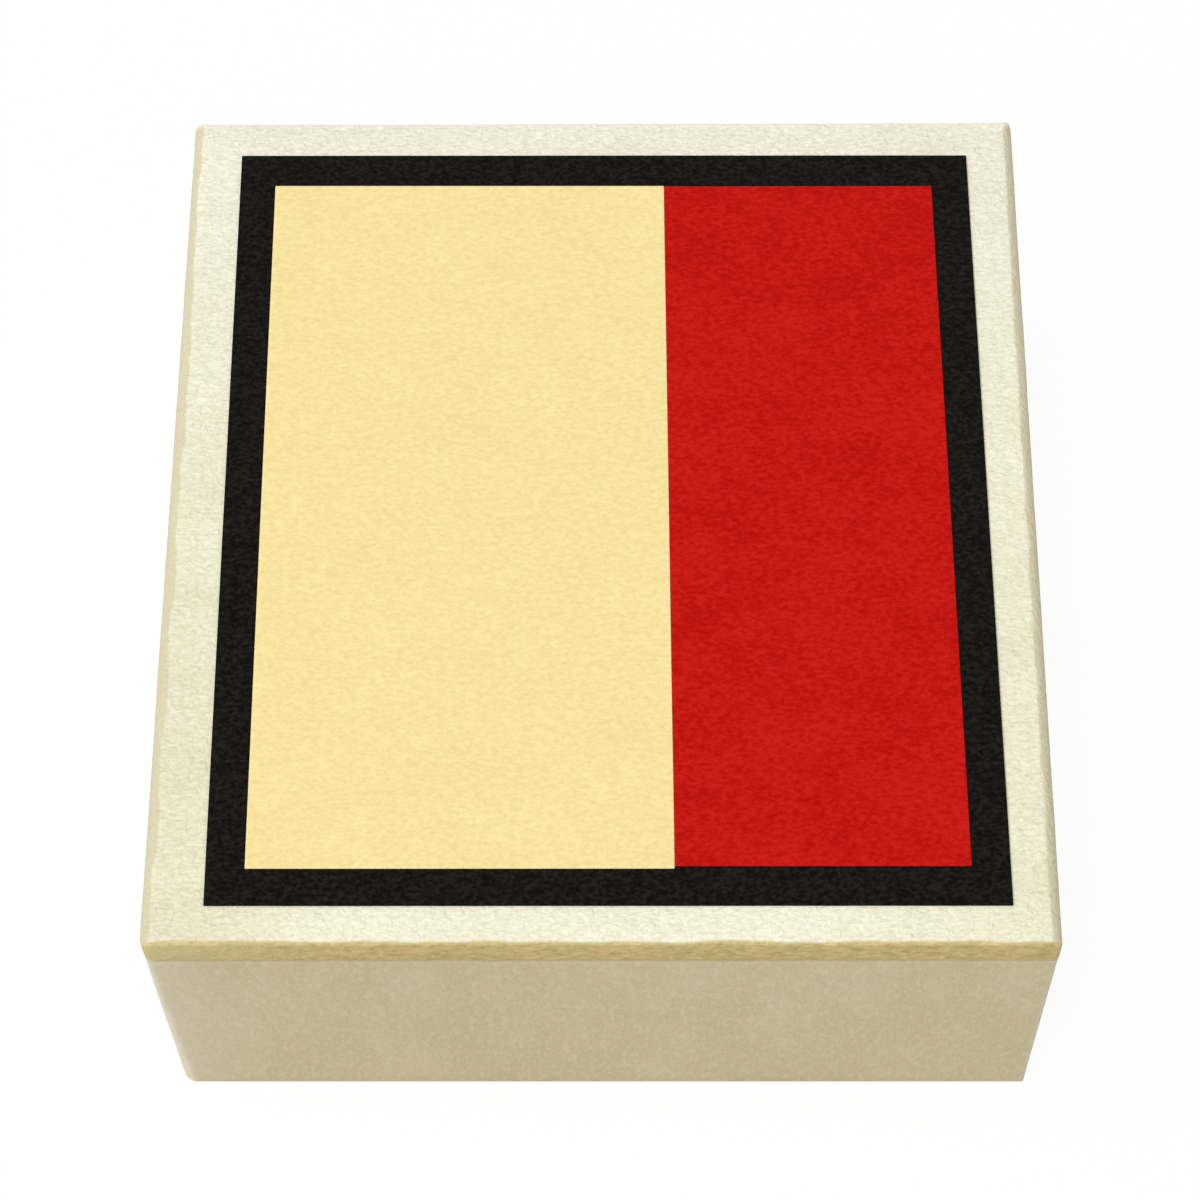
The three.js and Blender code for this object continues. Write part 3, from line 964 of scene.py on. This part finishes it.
def shows_fibres(face):
    """The outer faces of the lid's paper, short of their edges, but not what the label covers."""
    centre = face.center
    from_end = lid_half_x - abs(centre.x)
    from_side = lid_half_y - abs(centre.y)
    if face.normal.z > 0.96 and centre.z > lid_high.z - 0.0004:
        bare = not (label_low.x <= centre.x <= label_high.x and label_low.y <= centre.y <= label_high.y)
        return bare and from_end >= 0.0022 and from_side >= 0.0013
    upright = abs(face.normal.z) <= 0.1 and lid_low.z + 0.0008 < centre.z < lid_high.z - 0.002
    outward = centre.x * face.normal.x + centre.y * face.normal.y >= 0.04
    return upright and outward and max(from_end, from_side) > 0.0028


lid_fibres = scattered(
    "lid_fibres", lid_cover, shows_fibres, fibre, fibre_finish,
    Density=0.7e6, Lean=0.0, Swing=0.7, LeastSize=0.4, MostSize=1.2, Seed=11)
bpy.data.objects.remove(fibre)
for vertex in lid_fibres.data.vertices:
    vertex.co.x = max(-lid_half_x, min(lid_half_x, vertex.co.x))
    vertex.co.y = max(-lid_half_y, min(lid_half_y, vertex.co.y))
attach(lid_fibres, "lid")


# ---- Lid lining ----
# A sheet of white lining paper closes the underside of the lid and hides the turned-in edges. The
# collar stands on it.

lid_lining_sheet = flat_sheet(
    "lid_lining_sheet", *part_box("lid_lining"), lining_edge, lining_corner)
lid_lining_sheet.data.materials.append(lining_paper)
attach(lid_lining_sheet, "lid")
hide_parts("lid_lining")


# ---- Collar ----
# A strip of board is scored, folded into a frame and covered with lining paper. It is glued under
# the lid, and drops inside the base to keep the lid in place.

front_low, front_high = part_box("lid_collar_front")
collar_wall = front_high.y - front_low.y
collar_bottom = front_low.z
collar_top = front_high.z
collar_corner = 0.0007
folded_edge = 0.00035
glued_edge = 0.0002
fold_height = collar_bottom + folded_edge
collar_section = (
    [(collar_wall, collar_top - glued_edge)]
    + [(collar_wall, height) for height in steps_between(collar_top, collar_bottom, 4)]
    + bend(collar_wall - folded_edge, fold_height, folded_edge, folded_edge, 180)
    + bend(folded_edge, fold_height, folded_edge, folded_edge, -90)
    + [(0.0, height) for height in steps_between(collar_bottom, collar_top, 4)]
    + bend(glued_edge, collar_top - glued_edge, glued_edge, glued_edge, 0, 3)
    + [(collar_wall - glued_edge, collar_top)])
collar_rings = []
for inset, height in collar_section:
    radius = max(collar_corner - inset, glued_edge)
    collar_rings.append(
        ring(front_high.x - inset, -front_low.y - inset, radius, height, (60, 66)))
lid_collar = skin("lid_collar", collar_rings, closed=True)
press_in(lid_collar, 0.00005, 0.012)
lid_collar.data.materials.append(lining_paper)
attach(lid_collar, "lid")
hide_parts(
    "lid_collar_front", "lid_collar_back", "lid_collar_left", "lid_collar_right")


# ---- Label ----
# Three plain papers are laid on the lid: a black mount, and on it a cream sheet and a red sheet that
# meet edge to edge. They are cut and laid by hand, so their corners sit a little off square.

def lay_by_hand(low, high, front_left, front_right, back_right, back_left):
    """Moves a sheet's points so that its four corners shift by the amounts given."""
    def shift(point):
        across = (point.x - low.x) / (high.x - low.x)
        up = (point.y - low.y) / (high.y - low.y)
        front = Vector(front_left).lerp(Vector(front_right), across)
        back = Vector(back_left).lerp(Vector(back_right), across)
        move = front.lerp(back, up)
        point.x += move.x
        point.y += move.y
    return shift


label_black, surface, place = start_finish("label_black", roughness=0.85, gloss=0.06)
grain = use_group(paper_grain, place, Grain=2400.0, Stretch=1.4, Cloud=700.0)
dark = blended(grain["Cloudy"], paint(7, 9, 6), paint(12, 8, 7))
dark = blended(ramped(grain["Fine"], 0.34, 0.7), dark, paint(33, 30, 27))
coat(surface, dark, grain["Fine"], 0.00003)

label_cream, surface, place = start_finish("label_cream", roughness=0.9, gloss=0.05)
grain = use_group(paper_grain, place, Grain=2300.0, Stretch=1.7, Cloud=160.0)
tone = plus(times(grain["Fine"], 0.8), times(grain["Cloudy"], 0.2))
cream = blended(ramped(tone, 0.3, 0.7), paint(243, 220, 151), paint(254, 235, 171))
crease = ramped(grain["Crease"], 0.0, 1.0, 0.15, 0.0)
cream = blended(crease, cream, paint(226, 197, 122))
coat(surface, cream, grain["Fine"], 0.00005)

label_red, surface, place = start_finish("label_red", roughness=0.9, gloss=0.08)
grain = use_group(paper_grain, place, Grain=2300.0, Stretch=1.6, Cloud=170.0)
tone = plus(times(grain["Fine"], 0.72), times(grain["Cloudy"], 0.28))
red = blended(ramped(tone, 0.33, 0.67), paint(182, 10, 6), paint(205, 29, 23))
coat(surface, red, grain["Fine"], 0.00004)

mount_shifts = ((0.0003, 0.0), (0.0003, 0.0), (-0.0003, -0.0001), (-0.0005, 0.0001))
cream_shifts = ((0.0006, -0.00033), (0.00026, -0.00034), (-0.00043, -0.00034), (-0.0002, -0.0002))
red_shifts = ((0.00026, -0.00006), (0.0003, -0.00006), (-0.0004, -0.00042), (-0.00043, -0.0004))
label_edge = 0.00005
label_corner = 0.00012
for name, node, slot, finish, shifts in (
        ("mount", "label_mount", "label_black", label_black, mount_shifts),
        ("cream_sheet", "label_cream_sheet", "label_cream", label_cream, cream_shifts),
        ("red_sheet", "label_red_sheet", "label_red", label_red, red_shifts)):
    low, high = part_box(node)
    warp = lay_by_hand(low, high, *shifts)
    piece = flat_sheet(name, low, high, label_edge, label_corner, (50, 56), warp)
    press_in(piece, 0.00002, 0.014)
    piece.data.materials.append(finish)
    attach(piece, "lid")
    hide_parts(node)


# ---- Studio ----
# A plain pale floor under one large soft lamp, with an even light from all round. The floor and the
# air look white to the camera, and the floor keeps a faint shadow of the box.

def looked_at(tree):
    """1 where the camera sees a thing, also in a reflection or through glass, and 0 for the light
    that it throws on others."""
    seen = add(tree, "ShaderNodeLightPath").outputs
    direct = calc("MAXIMUM", seen["Is Camera Ray"], seen["Is Glossy Ray"])
    return calc("MAXIMUM", direct, seen["Is Transmission Ray"])


pure_white = (1.0, 1.0, 1.0, 1.0)
floor_grey = (0.8, 0.8, 0.8, 1.0)
floor_reach = 4.0
floor_level = -0.00005
floor_mesh = bpy.data.meshes.new("floor")
floor_corners = [
    (side_x * floor_reach, side_y * floor_reach, floor_level)
    for side_x, side_y in ((-1, -1), (1, -1), (1, 1), (-1, 1))]
floor_mesh.from_pydata(floor_corners, [], [(0, 1, 2, 3)])
floor = put("floor", floor_mesh)
floor_finish = bpy.data.materials.new("floor")
floor_finish.use_nodes = True
tree = floor_finish.node_tree
tree.nodes.remove(tree.nodes["Principled BSDF"])
floor_seen = looked_at(tree)
floor_colour = blended(floor_seen, floor_grey, pure_white)
matt = add(tree, "ShaderNodeBsdfDiffuse", {"Color": floor_colour})
white = add(tree, "ShaderNodeEmission", {"Color": pure_white, "Strength": 1.0})
floor_share = times(floor_seen, 0.94)
floor_mix = add(tree, "ShaderNodeMixShader", {
    0: floor_share, 1: matt.outputs[0], 2: white.outputs[0]})
tree.links.new(floor_mix.outputs[0], tree.nodes["Material Output"].inputs["Surface"])
floor_mesh.materials.append(floor_finish)

world = bpy.data.worlds.new("air")
bpy.context.scene.world = world
world.use_nodes = True
tree = world.node_tree
air = tree.nodes["Background"]
air.inputs["Color"].default_value = pure_white
air.inputs["Strength"].default_value = 0.42
backdrop = add(tree, "ShaderNodeBackground", {"Color": pure_white, "Strength": 1.0})
air_mix = add(tree, "ShaderNodeMixShader", {
    0: looked_at(tree), 1: air.outputs[0], 2: backdrop.outputs[0]})
tree.links.new(air_mix.outputs[0], tree.nodes["World Output"].inputs["Surface"])

lamp_data = bpy.data.lights.new("softbox", "AREA")
lamp_data.shape = "RECTANGLE"
lamp_data.size = 1.8
lamp_data.size_y = 1.8
lamp_data.energy = 43.0
lamp = put("softbox", lamp_data)
lamp_place = Vector((-0.85, -0.55, 2.2))
lamp_aim = Vector((0, 0, cad_bounds[1].z))
lamp.location = lamp_place
lamp.rotation_euler = (lamp_aim - lamp_place).to_track_quat("-Z", "Y").to_euler()

camera_data = bpy.data.cameras.new("camera")
camera_data.lens = 104.47
camera_data.sensor_width = 36.0
camera = put("camera", camera_data)
camera_place = Vector((0.003357, -0.19663, 0.3932))
camera_down = math.radians(62.157)
camera_yaw = math.radians(-1.085)
camera_roll = math.radians(1.034)
camera.matrix_world = (
    Matrix.Translation(camera_place)
    @ Matrix.Rotation(-camera_yaw, 4, "Z")
    @ Matrix.Rotation(math.radians(90) - camera_down, 4, "X")
    @ Matrix.Rotation(-camera_roll, 4, "Z"))
bpy.context.scene.camera = camera
bpy.context.scene.view_settings.view_transform = "Standard"
